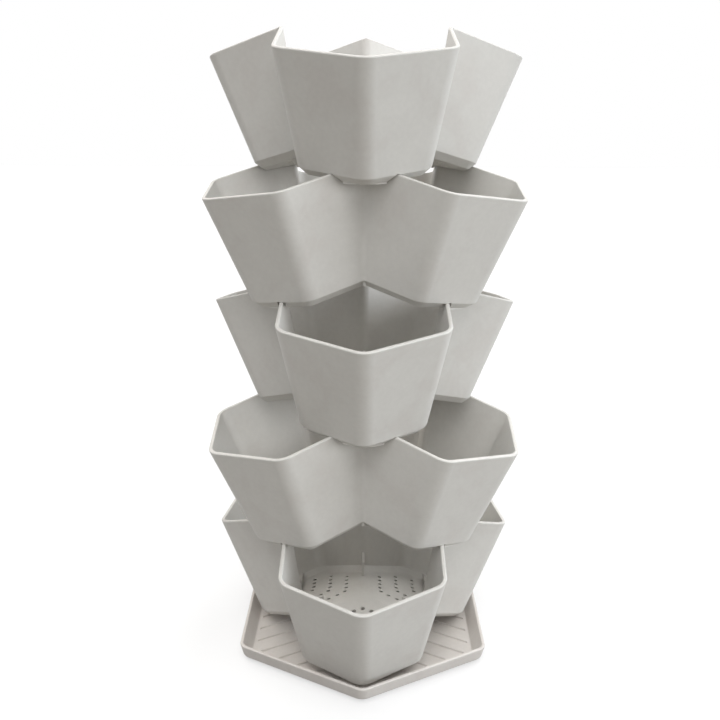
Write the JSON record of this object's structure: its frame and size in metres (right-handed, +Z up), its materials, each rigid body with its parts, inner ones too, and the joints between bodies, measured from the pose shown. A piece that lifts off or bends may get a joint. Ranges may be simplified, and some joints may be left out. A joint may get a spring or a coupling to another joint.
{
  "type": "vertical planter tower",
  "caption": "Upright planter tower of stackable three-lobed plastic pots, each turned against the one below, on a hexagonal drip tray.",
  "frame": {"origin": "centre of the drip tray's underside, on the tower's upright axis", "axes": "+Z up, -Y towards the viewer through a lobe of the lowest pot, +X to the viewer's right"},
  "size_m": [0.3036, 0.337, 0.6209],
  "materials": {
    "tray_plastic": "matt, light warm grey, fine moulded grain",
    "pot_plastic": "matt, light warm grey, fine moulded grain"
  },
  "bodies": {
    "drip_tray": {"drip_tray": "tray_plastic"},
    "pot_1": {"pot_1": "pot_plastic"},
    "pot_2": {"pot_2": "pot_plastic"},
    "pot_3": {"pot_3": "pot_plastic"},
    "pot_4": {"pot_4": "pot_plastic"},
    "pot_5": {"pot_5": "pot_plastic"}
  },
  "joints": [
    {"name": "lift_pot_1", "type": "slide", "parent": "drip_tray", "child": "pot_1", "axis": [0, 0, 1], "range_m": [0, 0.14]},
    {"name": "lift_pot_2", "type": "slide", "parent": "pot_1", "child": "pot_2", "axis": [0, 0, 1], "range_m": [0, 0.14]},
    {"name": "lift_pot_3", "type": "slide", "parent": "pot_2", "child": "pot_3", "axis": [0, 0, 1], "range_m": [0, 0.14]},
    {"name": "lift_pot_4", "type": "slide", "parent": "pot_3", "child": "pot_4", "axis": [0, 0, 1], "range_m": [0, 0.14]},
    {"name": "lift_pot_5", "type": "slide", "parent": "pot_4", "child": "pot_5", "axis": [0, 0, 1], "range_m": [0, 0.14]}
  ]
}
